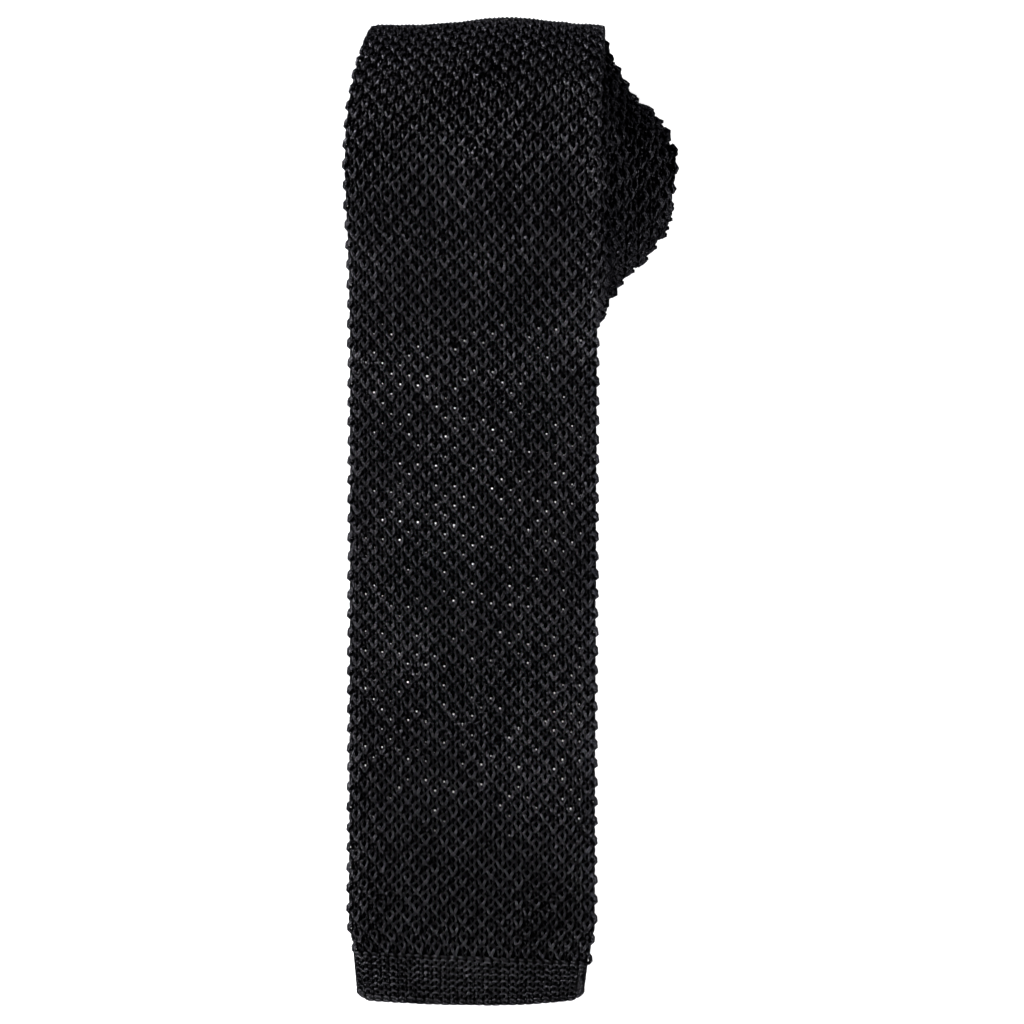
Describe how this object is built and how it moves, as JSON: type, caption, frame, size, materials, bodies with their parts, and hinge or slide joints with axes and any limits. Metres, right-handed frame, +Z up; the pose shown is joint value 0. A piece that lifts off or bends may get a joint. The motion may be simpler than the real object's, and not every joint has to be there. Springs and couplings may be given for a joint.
{
  "type": "necktie",
  "caption": "Black knitted necktie with a square hemmed end, rolled up from its tail with the front blade drawn out flat.",
  "frame": {"origin": "middle of the bottom of the bounding box, on the surface that the tie lies on", "axes": "+X across the blade to the side where the roll opens out, +Y along the blade from its hem to the roll, +Z up"},
  "size_m": [0.0786, 0.239, 0.066],
  "materials": {
    "black_knit": "knitted yarn, soft sheen",
    "ribbon": "grosgrain ribbon",
    "satin_label": "woven satin, blank",
    "sewing_thread": "spun thread"
  },
  "bodies": {
    "roll": {"front_blade_crest": "black_knit", "front_blade_turn_1": "black_knit", "front_blade_turn_2": "black_knit", "neck_turn_1": "black_knit", "keeper_loop": "ribbon", "keeper_tacks": "sewing_thread", "care_label": "satin_label", "care_label_stitches": "sewing_thread"},
    "middle_turns": {"neck_turn_2": "black_knit", "neck_turn_3": "black_knit"},
    "fifth_turn": {"tail_turn_1": "black_knit"},
    "sixth_turn": {"tail_turn_2": "black_knit"},
    "seventh_turn": {"tail_turn_3": "black_knit"},
    "core": {"tail_turn_4": "black_knit", "tail_turn_5": "black_knit", "tail_hem": "black_knit", "tail_hem_turning": "black_knit"},
    "blade_upper": {"front_blade_upper": "black_knit"},
    "blade_middle": {"front_blade_middle": "black_knit"},
    "blade_lower": {"front_blade_lower": "black_knit"},
    "blade_end": {"front_blade_end": "black_knit", "front_hem": "black_knit", "front_hem_turning": "black_knit", "front_hem_stitches": "sewing_thread"}
  },
  "joints": [
    {"name": "blade_lift", "type": "hinge", "parent": "roll", "child": "blade_upper", "pos_m": [-0.00925, 0.06482, 0.06083], "axis": [-1, 0, 0], "range_deg": [0, 100]},
    {"name": "blade_fold_upper", "type": "hinge", "parent": "blade_upper", "child": "blade_middle", "pos_m": [-0.00925, 0.01886, 0.04037], "axis": [-1, 0, 0], "range_deg": [0, 45]},
    {"name": "blade_fold_lower", "type": "hinge", "parent": "blade_middle", "child": "blade_lower", "pos_m": [-0.00925, -0.02682, 0.02003], "axis": [-1, 0, 0], "range_deg": [0, 45]},
    {"name": "blade_fold_tip", "type": "hinge", "parent": "blade_lower", "child": "blade_end", "pos_m": [-0.00925, -0.07261, 0.00301], "axis": [-1, 0, 0], "range_deg": [0, 60]},
    {"name": "middle_turns_push", "type": "slide", "parent": "roll", "child": "middle_turns", "axis": [1, 0, 0], "range_m": [-0.0039, 0.003]},
    {"name": "fifth_turn_push", "type": "slide", "parent": "middle_turns", "child": "fifth_turn", "axis": [1, 0, 0], "range_m": [-0.0025, 0.00192]},
    {"name": "sixth_turn_push", "type": "slide", "parent": "fifth_turn", "child": "sixth_turn", "axis": [1, 0, 0], "range_m": [-0.00331, 0.00255]},
    {"name": "seventh_turn_push", "type": "slide", "parent": "sixth_turn", "child": "seventh_turn", "axis": [1, 0, 0], "range_m": [-0.00308, 0.00237]},
    {"name": "core_push", "type": "slide", "parent": "seventh_turn", "child": "core", "axis": [1, 0, 0], "range_m": [-0.00234, 0.0018]}
  ],
  "couplings": [
    {"joint": "fifth_turn_push", "follows": "middle_turns_push", "ratio": 0.64},
    {"joint": "sixth_turn_push", "follows": "middle_turns_push", "ratio": 0.85},
    {"joint": "seventh_turn_push", "follows": "middle_turns_push", "ratio": 0.79},
    {"joint": "core_push", "follows": "middle_turns_push", "ratio": 0.6}
  ]
}
